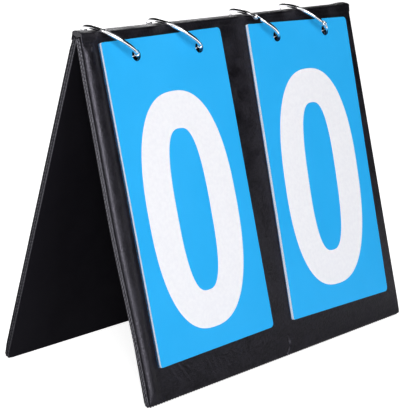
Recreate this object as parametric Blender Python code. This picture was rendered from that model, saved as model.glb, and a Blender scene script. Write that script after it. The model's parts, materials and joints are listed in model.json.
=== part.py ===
"""Tabletop scoreboard: two hinged padded boards, two packs of ten number cards and four snap rings.

Metres, +Z up. The origin is on the table under the middle of the ridge. The front board leans
towards -Y and carries the cards, and X runs along the ridge.
"""
from math import asin, cos, pi, radians, sin, sqrt

import bmesh
import bpy
from mathutils import Matrix, Vector

# Boards: the slope is measured down from the hinge line, depths outwards from the hinge plane
BOARD_WIDTH = 0.2376
BOARD_HEIGHT = 0.2000
HALF_ANGLE = radians(15.63)
INNER_SETBACK = 0.0002
LINING_THICKNESS = 0.0005
CORE_THICKNESS = 0.0021
COVER_THICKNESS = 0.0011
LAYER_GAP = 0.0003
CORE_INSET = 0.0022
BOARD_CORNER = 0.0030
PAD_ROUNDING = 0.0028
SPINE_GAP = 0.0003
CORNER_STEPS = 4
PAD_STEPS = 4
PAD_EDGE_SHARE = 0.3

# Ribbed edge band, laid in the groove between the cover and the lining
BAND_WIDTH = 0.0020
BAND_DEPTH = 0.0018
BAND_STEPS = 5

# Spine: each half is a low rounded cap on a board's upper end
SPINE_RISE = 0.0015
SPINE_INNER = 0.0006
SPINE_OUTER_INSET = 0.0003
SPINE_END_ROUNDING = 0.0006
SPINE_STEPS = 8
SPINE_END_SHARE = 0.6

# Cards: ten to a pack, the 0 on top
CARD_WIDTH = 0.0972
CARD_HEIGHT = 0.1764
CARD_THICKNESS = 0.00020
CARD_AIR = 0.00005
CARDS = 10
# The corner next to the fold of the print is nearly square, the outer one is cut round
CARD_LEFT_CORNER = 0.0010
CARD_RIGHT_CORNER = 0.0025
CARD_HOLE_RADIUS = 0.0033
HOLE_SIDES = 20

# Where each pack lies on the front board, and its two ring holes
PACK_LEFT = {"left": -0.1100, "right": 0.0126}
PACK_TOP = {"left": 0.0047, "right": 0.0040}
PACK_TILT = {"left": radians(0.615), "right": radians(-1.38)}
HOLE_DROP = {"left": 0.01355, "right": 0.01305}
HOLE_PLACES = {"left": (-0.0849, -0.0332), "right": (0.0379, 0.0860)}

# The line that a card turns about when it is lifted, from its holes and the hinge plane
LIFT_ABOVE_HOLES = 0.00965
LIFT_DEPTH = 0.0054

# Holes through the boards, from the card holes
BOARD_HOLE_RADIUS = 0.0046
BOARD_HOLE_ACROSS = {"front": 0.0024, "rear": 0.0020}
BOARD_HOLE_DOWN = 0.0004

# Snap rings
RING_RADIUS = 0.0160
WIRE_RADIUS = 0.00115
RING_LEAN = radians(56.8)
RING_YAW = radians(10)
RING_ACROSS = 0.0016
RING_BACK = -0.0005
KNUCKLES = (radians(228), radians(228), radians(132), radians(76))
GATE_TURNS = (-1, -1, 1, 1)
WIRE_SIDES = 10
WIRE_STEPS = 18

# Hinge knuckle: two flat eyes side by side on one rivet
EYE_RADIUS = 0.0018
EYE_THICKNESS = 0.0008
EYE_GAP = 0.0003
EYE_SIDES = 16
NECK_THICKNESS = 0.0007
NECK_CLEARANCE = 0.0004
NECK_LENGTH = 0.0020
NECK_STEPS = 4
RIVET_RADIUS = 0.00055
RIVET_FIT = 0.00015
RIVET_HEAD_RADIUS = 0.0014
RIVET_HEAD_HEIGHT = 0.0005
RIVET_SIDES = 12
DOME_STEPS = 3

# Snap: a ball-ended pin in a socket
SOCKET_RADIUS = 0.00145
SOCKET_LENGTH = 0.0030
SOCKET_FLARE = 0.0010
BORE_RADIUS = 0.00080
BORE_DEPTH = 0.0026
MOUTH_GAP = 0.0003
PIN_RADIUS = 0.00040
PIN_BALL_RADIUS = 0.00055
PIN_LENGTH = 0.0021
PIN_ROOT = 0.0005
BALL_STEPS = 5

# All cutters reach this far past what they cut
OVERRUN = 0.0010

FRONT = -1
REAR = 1
SIDES = {"front": FRONT, "rear": REAR}

LINING_FACE = INNER_SETBACK + LINING_THICKNESS
CORE_NEAR = LINING_FACE + LAYER_GAP
CORE_FAR = CORE_NEAR + CORE_THICKNESS
COVER_NEAR = CORE_FAR + LAYER_GAP
BOARD_DEPTH = COVER_NEAR + COVER_THICKNESS
CARD_PITCH = CARD_THICKNESS + CARD_AIR
PACK_DEPTH = CARDS * CARD_PITCH
RIDGE_HEIGHT = BOARD_HEIGHT * cos(HALF_ANGLE) - INNER_SETBACK * sin(HALF_ANGLE)


def clear_scene():
    """Remove what a new file holds."""
    for item in list(bpy.data.objects):
        bpy.data.objects.remove(item, do_unlink=True)


def material(name, colour, roughness, metallic=0.0):
    """A plain Principled material."""
    made = bpy.data.materials.new(name)
    made.use_nodes = True
    shader = made.node_tree.nodes["Principled BSDF"]
    shader.inputs["Base Color"].default_value = (*colour, 1.0)
    shader.inputs["Roughness"].default_value = roughness
    shader.inputs["Metallic"].default_value = metallic
    made.diffuse_color = (*colour, 1.0)
    return made


def add(name, mesh, parent=None, place=(0, 0, 0), turn=(0, 0, 0)):
    """Link a mesh as an object, or an empty where the mesh is None."""
    item = bpy.data.objects.new(name, mesh)
    bpy.context.scene.collection.objects.link(item)
    item.parent = parent
    item.location = place
    item.rotation_euler = turn
    return item


def skin(name, loops, finish=None, smooth=True):
    """A closed mesh over a row of loops, all with as many points, with a flat cap at each end."""
    mesh = bpy.data.meshes.new(name)
    shape = bmesh.new()
    rings = [[shape.verts.new(point) for point in loop] for loop in loops]
    for first, second in zip(rings, rings[1:]):
        for index in range(len(first)):
            after = (index + 1) % len(first)
            shape.faces.new((first[index], first[after], second[after], second[index]))
    shape.faces.new(rings[0])
    shape.faces.new(rings[-1])
    bmesh.ops.recalc_face_normals(shape, faces=shape.faces)
    shape.to_mesh(mesh)
    shape.free()
    if smooth:
        mesh.shade_smooth()
        mesh.set_sharp_from_angle(angle=radians(35))
    if finish:
        mesh.materials.append(finish)
    return mesh


def joined(name, meshes):
    """One mesh of several that lie apart."""
    shape = bmesh.new()
    for mesh in meshes:
        shape.from_mesh(mesh)
    mesh = bpy.data.meshes.new(name)
    shape.to_mesh(mesh)
    shape.free()
    return mesh


def rod(name, start, end, radius, sides):
    """A straight round bar between two points."""
    axis = (end - start).normalized()
    across = axis.orthogonal().normalized()
    other = axis.cross(across)
    turns = [2 * pi * step / sides for step in range(sides)]
    return skin(name, [[foot + across * radius * cos(turn) + other * radius * sin(turn) for turn in turns]
                       for foot in (start, end)])


def guide(name, mesh, parent=None):
    """An object that only shapes others."""
    item = add(name, mesh, parent)
    item.hide_render = True
    item.display_type = "WIRE"
    return item


def shaped(item, operation, tool):
    """Cut or join one object with another."""
    change = item.modifiers.new(tool.name, "BOOLEAN")
    change.operation = operation
    change.solver = "EXACT"
    change.object = tool


def outline(left, right, top, bottom, left_corner, right_corner, inset=0.0):
    """A rounded rectangle in width and drop, drawn in by inset, from the upper left corner down."""
    corners = ((left, top, left_corner, 1, 1), (left, bottom, left_corner, 1, -1),
               (right, bottom, right_corner, -1, -1), (right, top, right_corner, -1, 1))
    points = []
    for quarter, (x, drop, radius, across, down) in enumerate(corners):
        for step in range(CORNER_STEPS + 1):
            turn = pi * 3 / 2 - pi / 2 * (quarter + step / CORNER_STEPS)
            points.append((x + across * radius + (radius - inset) * cos(turn),
                           drop + down * radius + (radius - inset) * sin(turn)))
    return points


def board_outline(inset=0.0):
    """A board's edge, drawn in by inset. Its upper end clears the spine."""
    return outline(-BOARD_WIDTH / 2, BOARD_WIDTH / 2, SPINE_GAP, BOARD_HEIGHT, BOARD_CORNER, BOARD_CORNER, inset)


def leaf_loop(side, points, depth):
    """Points in width and drop, at one depth of a board, in the board's own axes."""
    return [(x, side * depth, -drop) for x, drop in points]


def hole_centres():
    """Each ring's card hole, as pack, place along the ridge and drop."""
    return [(pack, x, HOLE_DROP[pack]) for pack in HOLE_PLACES for x in HOLE_PLACES[pack]]


def make_board(side_name, leaf, finishes):
    """The lining, core, padded cover, edge band and spine half of one board."""
    side = SIDES[side_name]
    aside = BOARD_HOLE_ACROSS[side_name]
    bars = [rod("bar", Vector((x + aside, -side * OVERRUN, -drop - BOARD_HOLE_DOWN)),
                Vector((x + aside, side * (BOARD_DEPTH + OVERRUN), -drop - BOARD_HOLE_DOWN)),
                BOARD_HOLE_RADIUS, HOLE_SIDES) for pack, x, drop in hole_centres()]
    punch = guide(f"{side_name}_board_punch", joined("punch", bars), leaf)

    lining = add(f"{side_name}_lining", skin("lining", [leaf_loop(side, board_outline(), INNER_SETBACK),
                                                        leaf_loop(side, board_outline(), LINING_FACE)],
                                             finishes["lining"]), leaf)
    core = add(f"{side_name}_core", skin("core", [leaf_loop(side, board_outline(CORE_INSET), CORE_NEAR),
                                                  leaf_loop(side, board_outline(CORE_INSET), CORE_FAR)],
                                         finishes["core"]), leaf)
    loops = [leaf_loop(side, board_outline(), COVER_NEAR)]
    for step in range(PAD_STEPS + 1):
        turn = pi / 2 * step / PAD_STEPS
        # The padded face starts a third of the way up its edge and rounds over to flat
        loops.append(leaf_loop(side, board_outline(PAD_ROUNDING * (1 - cos(turn))),
                               COVER_NEAR + COVER_THICKNESS * (PAD_EDGE_SHARE + (1 - PAD_EDGE_SHARE) * sin(turn))))
    cover = add(f"{side_name}_cover", skin("cover", loops, finishes["cover"]), leaf)
    for item in (lining, core, cover):
        shaped(item, "DIFFERENCE", punch)

    add(f"{side_name}_edge_band", edge_band(side, finishes["band"]), leaf)
    add(f"{side_name}_spine", spine(side, finishes["cover"]), leaf)


def edge_band(side, finish):
    """A band with a rounded outer edge, down one side of a board, under its foot and up the other."""
    profile = [(BAND_DEPTH, CORE_NEAR)]
    for step in range(BAND_STEPS + 1):
        turn = pi * step / BAND_STEPS
        profile.append((BAND_WIDTH / 2 * (1 - sin(turn)), CORE_NEAR + BAND_WIDTH / 2 * (1 - cos(turn))))
    profile.append((BAND_DEPTH, CORE_NEAR + BAND_WIDTH))
    runs = [leaf_loop(side, board_outline(inset), depth) for inset, depth in profile]
    stations = range(CORNER_STEPS, len(runs[0]) - CORNER_STEPS)
    return skin("edge_band", [[run[station] for run in runs] for station in stations], finish)


def spine(side, finish):
    """A low rounded cap along a board's upper end."""
    half_depth = (BOARD_DEPTH - SPINE_OUTER_INSET - SPINE_INNER) / 2
    middle = SPINE_INNER + half_depth
    loops = []
    ends = ((-1, 0, SPINE_END_SHARE), (-1, 1, 1), (1, 1, 1), (1, 0, SPINE_END_SHARE))
    for end, inward, share in ends:
        x = end * (BOARD_WIDTH / 2 - inward * SPINE_END_ROUNDING)
        turns = [pi * step / SPINE_STEPS for step in range(SPINE_STEPS + 1)]
        loops.append([(x, side * (middle - half_depth * share * cos(turn)), SPINE_RISE * share * sin(turn))
                      for turn in turns])
    return skin("spine", loops, finish)


def make_pack(pack, leaf, finish):
    """Ten number cards. The 0 lies on top and hangs from its own lifting line."""
    drop = HOLE_DROP[pack] - LIFT_ABOVE_HOLES
    hinge = add(f"{pack}_lift_axis", None, leaf, (0, -LIFT_DEPTH, -drop))
    edge = outline(0, CARD_WIDTH, 0, CARD_HEIGHT, CARD_LEFT_CORNER, CARD_RIGHT_CORNER)
    mesh = skin("card", [leaf_loop(FRONT, edge, 0), leaf_loop(FRONT, edge, CARD_THICKNESS)], finish, False)
    holes = [rod("hole", Vector((x, -BOARD_DEPTH + OVERRUN, -HOLE_DROP[pack])),
                 Vector((x, -BOARD_DEPTH - PACK_DEPTH - OVERRUN, -HOLE_DROP[pack])), CARD_HOLE_RADIUS, HOLE_SIDES)
             for x in HOLE_PLACES[pack]]
    punch = guide(f"{pack}_card_punch", joined("punch", holes), leaf)
    for number in range(CARDS):
        depth = BOARD_DEPTH + PACK_DEPTH - number * CARD_PITCH - CARD_THICKNESS
        place = Vector((PACK_LEFT[pack], -depth, -PACK_TOP[pack]))
        parent = leaf
        if number == 0:
            parent = hinge
            place = place - hinge.location
        card = add(f"{pack}_card_{number}", mesh, parent, place, (0, -PACK_TILT[pack], 0))
        shaped(card, "DIFFERENCE", punch)


def leaf_world(side, x, depth, drop):
    """A point of a board in the world, at rest."""
    return Vector((x, side * (depth * cos(HALF_ANGLE) + drop * sin(HALF_ANGLE)),
                   RIDGE_HEIGHT + depth * sin(HALF_ANGLE) - drop * cos(HALF_ANGLE)))


class Ring:
    """One snap ring's place and its own axes: x along its axis, y to the rear, z to its top."""

    def __init__(self, number, x, drop):
        self.number = number
        self.knuckle = KNUCKLES[number - 1]
        self.gate_turn = GATE_TURNS[number - 1]
        front = leaf_world(FRONT, x, BOARD_DEPTH + PACK_DEPTH, drop)
        rear = leaf_world(REAR, x, BOARD_DEPTH, drop)
        chord = rear - front
        self.rise = sqrt(RING_RADIUS ** 2 - (chord.length / 2) ** 2)
        self.place = (front + rear) / 2 + Vector((RING_ACROSS, RING_BACK, 0))
        self.chord = (Matrix.Rotation(-RING_YAW, 3, "Z") @ chord).normalized()
        upright = Vector((1, 0, 0)).cross(self.chord).normalized()
        aside = self.chord.cross(upright)
        top = cos(RING_LEAN) * upright - sin(RING_LEAN) * aside
        self.turn = Matrix((self.chord.cross(top), self.chord, top)).transposed().to_euler()

    def point(self, angle, outward=0.0, along=0.0):
        """A point by its angle from the ring's foot, over the front, in the ring's own axes."""
        reach = RING_RADIUS + outward
        return Vector((along, -reach * sin(angle), self.rise - reach * cos(angle)))

    def onward(self, angle):
        """The wire's direction there, towards greater angles."""
        return Vector((0, -cos(angle), sin(angle)))

    def section(self, angle, half_width, half_thickness, shift=0.0):
        """A round or flattened cross-section of the wire."""
        turns = [2 * pi * step / WIRE_SIDES for step in range(WIRE_SIDES)]
        return [self.point(angle, half_width * cos(turn), shift + half_thickness * sin(turn)) for turn in turns]

    def half(self, turn, eye_side, socket):
        """One half of the ring, from its flattened neck at the knuckle to its socket or its mouth."""
        length = pi * RING_RADIUS
        shift = eye_side * (EYE_GAP + EYE_THICKNESS) / 2
        neck = EYE_RADIUS + NECK_CLEARANCE
        rows = [(EYE_RADIUS / 2, WIRE_RADIUS, NECK_THICKNESS / 2, shift)]
        for step in range(NECK_STEPS + 1):
            share = step / NECK_STEPS
            blend = share * share * (3 - 2 * share)
            rows.append((neck + NECK_LENGTH * share, WIRE_RADIUS,
                         NECK_THICKNESS / 2 + (WIRE_RADIUS - NECK_THICKNESS / 2) * blend, shift * (1 - blend)))
        start = neck + NECK_LENGTH
        end = length - MOUTH_GAP
        if socket:
            end = length - SOCKET_LENGTH - SOCKET_FLARE
        for step in range(1, WIRE_STEPS + 1):
            rows.append((start + (end - start) * step / WIRE_STEPS, WIRE_RADIUS, WIRE_RADIUS, 0.0))
        if socket:
            rows.append((length - SOCKET_LENGTH, SOCKET_RADIUS, SOCKET_RADIUS, 0.0))
            rows.append((length, SOCKET_RADIUS, SOCKET_RADIUS, 0.0))
        return [self.section(self.knuckle + turn * reach / RING_RADIUS, width, thickness, offset)
                for reach, width, thickness, offset in rows]

    def turned(self, name, centre, axis, profile, sides):
        """A round piece turned about an axis, from a profile of reach and radius."""
        across = axis.orthogonal().normalized()
        other = axis.cross(across)
        turns = [2 * pi * step / sides for step in range(sides)]
        return skin(name, [[centre + axis * reach + across * radius * cos(turn) + other * radius * sin(turn)
                            for turn in turns] for reach, radius in profile])


def make_ring(ring, finishes):
    """The fixed half, the gate half and the rivet of one snap ring."""
    name = f"ring_{ring.number}"
    frame = add(f"{name}_axis", None, None, ring.place, ring.turn)
    pivot = add(f"{name}_knuckle_axis", None, frame, ring.point(ring.knuckle))
    eye_middle = (EYE_GAP + EYE_THICKNESS) / 2
    hole = guide(f"{name}_rivet_hole", rod("hole", ring.point(ring.knuckle, 0, -eye_middle * 2 - OVERRUN),
                                           ring.point(ring.knuckle, 0, eye_middle * 2 + OVERRUN),
                                           RIVET_RADIUS + RIVET_FIT, RIVET_SIDES), frame)
    halves = {}
    for part, eye_side, turn in (("fixed", 1, -ring.gate_turn), ("gate", -1, ring.gate_turn)):
        shape = skin(part, ring.half(turn, eye_side, part == "fixed"), finishes["chrome"])
        middle = eye_side * eye_middle
        eye = guide(f"{name}_{part}_eye", rod("eye", ring.point(ring.knuckle, 0, middle - EYE_THICKNESS / 2),
                                              ring.point(ring.knuckle, 0, middle + EYE_THICKNESS / 2),
                                              EYE_RADIUS, EYE_SIDES), frame)
        parent = frame
        place = Vector((0, 0, 0))
        if part == "gate":
            parent = pivot
            place = -pivot.location
        halves[part] = add(f"{name}_{part}_half", shape, parent, place)
        shaped(halves[part], "UNION", eye)
        shaped(halves[part], "DIFFERENCE", hole)

    snap = ring.knuckle + ring.gate_turn * pi
    mouth = ring.point(snap)
    inward = ring.onward(snap) * ring.gate_turn
    bore = guide(f"{name}_socket_bore", rod("bore", mouth - inward * OVERRUN, mouth + inward * BORE_DEPTH,
                                            BORE_RADIUS, RIVET_SIDES), frame)
    shaped(halves["fixed"], "DIFFERENCE", bore)
    pin = guide(f"{name}_pin", ring.turned("pin", mouth, inward, pin_profile(), RIVET_SIDES), frame)
    shaped(halves["gate"], "UNION", pin)
    rivet = ring.turned("rivet", ring.point(ring.knuckle), Vector((1, 0, 0)), rivet_profile(), RIVET_SIDES)
    rivet.materials.append(finishes["rivet"])
    add(f"{name}_rivet", rivet, frame)


def pin_profile():
    """The snap pin's reach into the socket and its radius: a shank and a ball end."""
    centre = PIN_LENGTH - PIN_BALL_RADIUS
    first = asin(PIN_RADIUS / PIN_BALL_RADIUS)
    rows = [(-MOUTH_GAP - PIN_ROOT, PIN_RADIUS)]
    for step in range(BALL_STEPS):
        turn = first + (pi - first) * step / BALL_STEPS
        rows.append((centre - PIN_BALL_RADIUS * cos(turn), PIN_BALL_RADIUS * sin(turn)))
    return rows


def rivet_profile():
    """The rivet's reach to each side of the knuckle's middle and its radius, head to head."""
    seat = EYE_GAP / 2 + EYE_THICKNESS + RIVET_FIT
    dome = [(seat + RIVET_HEAD_HEIGHT * sin(pi / 2 * step / DOME_STEPS),
             RIVET_HEAD_RADIUS * cos(pi / 2 * step / DOME_STEPS)) for step in range(DOME_STEPS)]
    dome.append((seat + RIVET_HEAD_HEIGHT, RIVET_RADIUS / 2))
    head = [(seat, RIVET_RADIUS)] + dome
    return [(-reach, radius) for reach, radius in reversed(head)] + head


def main():
    """Build the whole scoreboard."""
    clear_scene()
    finishes = {
        "cover": material("black_leatherette", (0.035, 0.037, 0.042), 0.42),
        "lining": material("black_lining", (0.012, 0.013, 0.016), 0.6),
        "core": material("greyboard", (0.30, 0.28, 0.26), 0.9),
        "band": material("ribbed_band", (0.045, 0.047, 0.052), 0.5),
        "card": material("blue_card", (0.05, 0.42, 0.93), 0.35),
        "chrome": material("chrome_wire", (0.80, 0.81, 0.83), 0.12, 1.0),
        "rivet": material("rivet_steel", (0.62, 0.63, 0.65), 0.25, 1.0),
    }
    leaves = {side_name: add(f"{side_name}_leaf", None, None, (0, 0, RIDGE_HEIGHT), (side * HALF_ANGLE, 0, 0))
              for side_name, side in SIDES.items()}
    for side_name, leaf in leaves.items():
        make_board(side_name, leaf, finishes)
    for pack in PACK_LEFT:
        make_pack(pack, leaves["front"], finishes["card"])
    for number, (pack, x, drop) in enumerate(hole_centres(), start=1):
        make_ring(Ring(number, x, drop), finishes)
    bpy.context.view_layer.update()


main()
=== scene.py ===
import json
from math import cos, pi, radians, sin

import bmesh
import bpy
import numpy as np
from mathutils import Matrix, Vector


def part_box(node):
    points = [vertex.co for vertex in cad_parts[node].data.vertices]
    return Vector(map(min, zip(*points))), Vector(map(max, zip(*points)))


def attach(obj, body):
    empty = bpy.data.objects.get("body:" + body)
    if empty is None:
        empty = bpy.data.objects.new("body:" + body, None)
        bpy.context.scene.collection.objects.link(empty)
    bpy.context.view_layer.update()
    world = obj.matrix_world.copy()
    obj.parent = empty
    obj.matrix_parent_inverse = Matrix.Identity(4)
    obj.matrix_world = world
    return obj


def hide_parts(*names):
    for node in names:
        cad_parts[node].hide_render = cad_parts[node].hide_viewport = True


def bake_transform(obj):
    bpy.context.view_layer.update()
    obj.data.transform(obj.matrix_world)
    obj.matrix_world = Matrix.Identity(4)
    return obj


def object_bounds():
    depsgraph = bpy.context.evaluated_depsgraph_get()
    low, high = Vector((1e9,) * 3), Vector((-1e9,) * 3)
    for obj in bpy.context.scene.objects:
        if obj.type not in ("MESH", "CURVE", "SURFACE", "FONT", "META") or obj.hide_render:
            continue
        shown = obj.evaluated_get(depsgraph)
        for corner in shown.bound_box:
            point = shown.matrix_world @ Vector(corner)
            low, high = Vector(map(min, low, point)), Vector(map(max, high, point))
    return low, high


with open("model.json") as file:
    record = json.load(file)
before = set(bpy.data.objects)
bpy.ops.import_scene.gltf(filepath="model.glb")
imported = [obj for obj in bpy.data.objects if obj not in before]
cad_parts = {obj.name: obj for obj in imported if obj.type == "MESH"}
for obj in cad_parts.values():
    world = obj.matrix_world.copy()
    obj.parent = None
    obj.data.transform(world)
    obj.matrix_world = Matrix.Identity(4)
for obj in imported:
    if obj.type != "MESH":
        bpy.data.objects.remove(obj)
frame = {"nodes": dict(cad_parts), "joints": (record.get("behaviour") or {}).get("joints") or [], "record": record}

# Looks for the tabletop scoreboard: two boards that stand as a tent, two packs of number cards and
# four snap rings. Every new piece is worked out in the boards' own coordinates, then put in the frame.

CAD_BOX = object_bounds()
MM = 0.001

JOINTS = {joint["name"]: joint for joint in frame["joints"]}
REAR_NORMAL = frame["record"]["mounts"][0]["axis"]
RIDGE = JOINTS["board_fold"]["pos_m"][2]
HALF_ANGLE = np.arctan2(REAR_NORMAL[2], REAR_NORMAL[1])

# The boards: a drop runs down a board from the ridge, and a depth out from its inner face
FRONT, REAR = -1, 1
HALF_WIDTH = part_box("rear_lining")[1].x
BOARD_TOP = 0.3 * MM
BOARD_HEIGHT = 200 * MM
CORNER = 1.8 * MM

# The cards: each pack's left edge, top and tilt, then its two holes' places across and their drop
CARD_PITCH = 0.25 * MM
CARD_FACE = 7.0 * MM
HOLE_LEVEL = 5.8 * MM
PACKS = {"left": (-110.0 * MM, 4.7 * MM, radians(0.615)), "right": (12.6 * MM, 4.0 * MM, radians(-1.38))}
HOLES = {"left": (-84.9 * MM, -33.2 * MM, 13.55 * MM), "right": (37.9 * MM, 86.0 * MM, 13.05 * MM)}
# Their cut edges: where the painted shade on the lowest cards turns to white, how much later on the left
# pack, and how far the painted shade round the holes reaches
PAINTED_SHADE_TO_WHITE = (5.2 * MM, 5.5 * MM)
LEFT_PAINTED_SHADE_EXTRA = 0.5 * MM
HOLE_PAINTED_SHADE_REACH = 4.3 * MM
# The holes through the boards, and how far right of the cards' holes and below them they lie
BOARD_HOLE_RADIUS = 4.6 * MM
BOARD_HOLE_PLACE = {FRONT: (2.4 * MM, 0.4 * MM), REAR: (2.0 * MM, 0.4 * MM)}

SHARP_EDGE = radians(50)


def smooth(value, start, end):
    """A soft step: 0 before start, 1 after end, and 3t^2 - 2t^3 between them."""
    t = np.clip((np.asarray(value, float) - start) / (end - start), 0, 1)
    return t * t * (3 - 2 * t)


def bell(value, width):
    """A soft hump: e to the power of minus the square of the value over the width."""
    return np.exp(-(value / width) ** 2)


def waves(along, periods, phases):
    """The mean of sine waves of several periods, as a smooth uneven line with nothing random in it."""
    lines = [np.sin(2 * pi * along / period + phase) for period, phase in zip(periods, phases)]
    return np.mean(lines, axis=0)


def lean(depth, drop):
    """A place in a board's section, turned by half the angle between the boards: its reach out from the
    ridge line and its height over it."""
    out = depth * np.cos(HALF_ANGLE) + drop * np.sin(HALF_ANGLE)
    up = depth * np.sin(HALF_ANGLE) - drop * np.cos(HALF_ANGLE)
    return out, up


def leaf(side, x, depth, drop):
    """Points of a board: x across it, out from its inner face by depth, and down from the ridge by drop."""
    x, depth, drop = np.broadcast_arrays(x, depth, drop)
    out, up = lean(depth, drop)
    return np.stack([x, side * out, RIDGE + up], axis=-1)


def travelled(x, y):
    """How far along a line each of its points lies."""
    return np.concatenate([[0], np.cumsum(np.hypot(np.diff(x), np.diff(y)))])


def quads(rows, columns, around=False, along=False):
    """The corner numbers of a grid's faces, closed around its columns or along its rows where asked."""
    row = np.arange(rows if along else rows - 1)[:, None]
    column = np.arange(columns if around else columns - 1)[None, :]
    below = (row + 1) % rows
    beside = (column + 1) % columns
    corners = (row * columns + column, row * columns + beside,
               below * columns + beside, below * columns + column)
    return np.stack(np.broadcast_arrays(*corners), axis=-1).reshape(-1, 4).tolist()


def tube(points, along=False):
    """A closed shell over a row of loops: flat caps at its ends, or the last loop joined to the first."""
    rows, columns = points.shape[:2]
    faces = quads(rows, columns, around=True, along=along)
    if not along:
        faces.append(list(range(columns)))
        faces.append(list(range((rows - 1) * columns, rows * columns)))
    return points, faces


def soften(mesh):
    """Smooth shading, with the edges that turn sharply kept as edges."""
    mesh.shade_smooth()
    mesh.set_sharp_from_angle(angle=SHARP_EDGE)


def make(name, shells, finish):
    """One object of closed shells, each given as points and faces, with all faces turned outwards."""
    points = []
    faces = []
    count = 0
    for shell_points, shell_faces in shells:
        flat = np.asarray(shell_points, float).reshape(-1, 3)
        points.append(flat)
        faces += [[corner + count for corner in face] for face in shell_faces]
        count += len(flat)
    mesh = bpy.data.meshes.new(name)
    mesh.from_pydata(np.concatenate(points).tolist(), [], faces)
    work = bmesh.new()
    work.from_mesh(mesh)
    bmesh.ops.recalc_face_normals(work, faces=work.faces)
    work.to_mesh(mesh)
    work.free()
    soften(mesh)
    mesh.materials.append(finish)
    piece = bpy.data.objects.new(name, mesh)
    bpy.context.scene.collection.objects.link(piece)
    return piece


# Materials


class Finish:
    """A material under construction: a Principled shader, with the nodes that feed it."""

    def __init__(self, name, colour, roughness, metallic=0.0, specular=0.5, tint=(1, 1, 1)):
        self.material = bpy.data.materials.new(name)
        self.material.use_nodes = True
        self.nodes = self.material.node_tree.nodes
        self.links = self.material.node_tree.links
        self.shader = self.nodes["Principled BSDF"]
        constants = {"Base Color": (*colour, 1), "Roughness": roughness, "Metallic": metallic,
                     "Specular IOR Level": specular, "Specular Tint": (*tint, 1)}
        for socket, value in constants.items():
            self.shader.inputs[socket].default_value = value
        texture = self.nodes.new("ShaderNodeTexCoord")
        self.place = texture.outputs["Object"]
        self.normal = texture.outputs["Normal"]

    def plug(self, socket, value):
        """An input is linked to another node's output, or set to a plain value."""
        if isinstance(value, bpy.types.NodeSocket):
            self.links.new(value, socket)
        else:
            socket.default_value = value

    def feed(self, name, value):
        """One of the shader's own inputs is linked or set."""
        self.plug(self.shader.inputs[name], value)

    def node(self, kind, properties=None, **inputs):
        """A node with its properties set, and its inputs set or linked by name."""
        made = self.nodes.new(kind)
        for key, value in (properties or {}).items():
            setattr(made, key, value)
        for key, value in inputs.items():
            self.plug(made.inputs[key.replace("_", " ")], value)
        return made

    def noise(self, scale, detail=3.0, stretch=None):
        """Noise in Object coordinates, by its count of patches in a metre, stretched where asked."""
        place = self.place
        if stretch:
            place = self.node("ShaderNodeMapping", Vector=self.place, Scale=stretch).outputs["Vector"]
        return self.node("ShaderNodeTexNoise", Vector=place, Scale=scale, Detail=detail).outputs["Fac"]

    def span(self, value, low, high, start=0.35, end=0.65):
        """A value carried from the range start to end into the range low to high."""
        made = self.node("ShaderNodeMapRange", Value=value, From_Min=start, From_Max=end,
                         To_Min=low, To_Max=high)
        return made.outputs["Result"]

    def between(self, factor, first, second):
        """Two colours mixed by a factor, each a colour or a socket. A Mix node has a set of sockets for
        each kind of value, so its colour sockets go by number."""
        made = self.node("ShaderNodeMix", {"data_type": "RGBA"})
        self.plug(made.inputs[0], factor)
        for number, value in ((6, first), (7, second)):
            self.plug(made.inputs[number], value if isinstance(value, bpy.types.NodeSocket) else (*value, 1))
        return made.outputs[2]

    def shade(self, value, first, second):
        """The shader's colour goes from the first to the second as the value passes through its range."""
        self.feed("Base Color", self.between(self.span(value, 0, 1), first, second))

    def measure(self, operation, first, second):
        """A length worked out from two vectors, such as how far one reaches along the other."""
        made = self.node("ShaderNodeVectorMath", {"operation": operation})
        self.plug(made.inputs[0], first)
        self.plug(made.inputs[1], second)
        return made.outputs["Value"]

    def maths(self, operation, first, second=0.0):
        """One step of arithmetic on values or sockets."""
        made = self.node("ShaderNodeMath", {"operation": operation})
        self.plug(made.inputs[0], first)
        self.plug(made.inputs[1], second)
        return made.outputs[0]

    def bump(self, height, distance, strength=1.0, under=None):
        """A relief that feeds the shader's normal, on top of another one if given."""
        inputs = {"Height": height, "Distance": distance, "Strength": strength}
        if under:
            inputs["Normal"] = under
        made = self.node("ShaderNodeBump", **inputs).outputs["Normal"]
        self.feed("Normal", made)
        return made


def leatherette(name, light, roughness):
    """Coated cloth: pebbled grain a millimetre apart, faint pores, and slow shade and gloss."""
    dark = (0.0005, 0.0004, 0.001)
    finish = Finish(name, dark, roughness, tint=(0.88, 0.85, 1.0))
    grain = finish.node("ShaderNodeTexVoronoi", {"feature": "SMOOTH_F1"}, Vector=finish.place,
                        Scale=1000.0, Smoothness=0.6)
    pores = finish.noise(2600.0, 2.0)
    slack = finish.noise(90.0, 4.0)
    specks = finish.noise(620.0, 2.0)
    mottle = finish.maths("ADD", finish.maths("MULTIPLY", specks, 0.7), finish.maths("MULTIPLY", slack, 0.3))
    finish.feed("Base Color", finish.between(finish.span(mottle, 0, 1, 0.38, 0.62), dark, light))
    finish.feed("Roughness", finish.span(slack, roughness - 0.07, roughness + 0.07))
    pebble = finish.maths("ADD", grain.outputs["Distance"], finish.maths("MULTIPLY", pores, 0.5))
    relief = finish.bump(pebble, 0.13 * MM, 0.9)
    finish.bump(slack, 0.6 * MM, 0.25, under=relief)
    return finish.material


def lining_paper():
    """Smooth black lining paper: very fine speckle, a slow sheen, and scuffed lighter patches."""
    finish = Finish("black_lining_paper", (0.004, 0.004, 0.0055), 0.6, specular=0.03)
    finish.shade(finish.noise(14.0, 4.0), (0.0078, 0.0072, 0.0102), (0.0106, 0.0099, 0.0133))
    finish.feed("Roughness", finish.span(finish.noise(60.0), 0.55, 0.7))
    finish.bump(finish.noise(2200.0, 2.0), 0.03 * MM, 0.35)
    return finish.material


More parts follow.
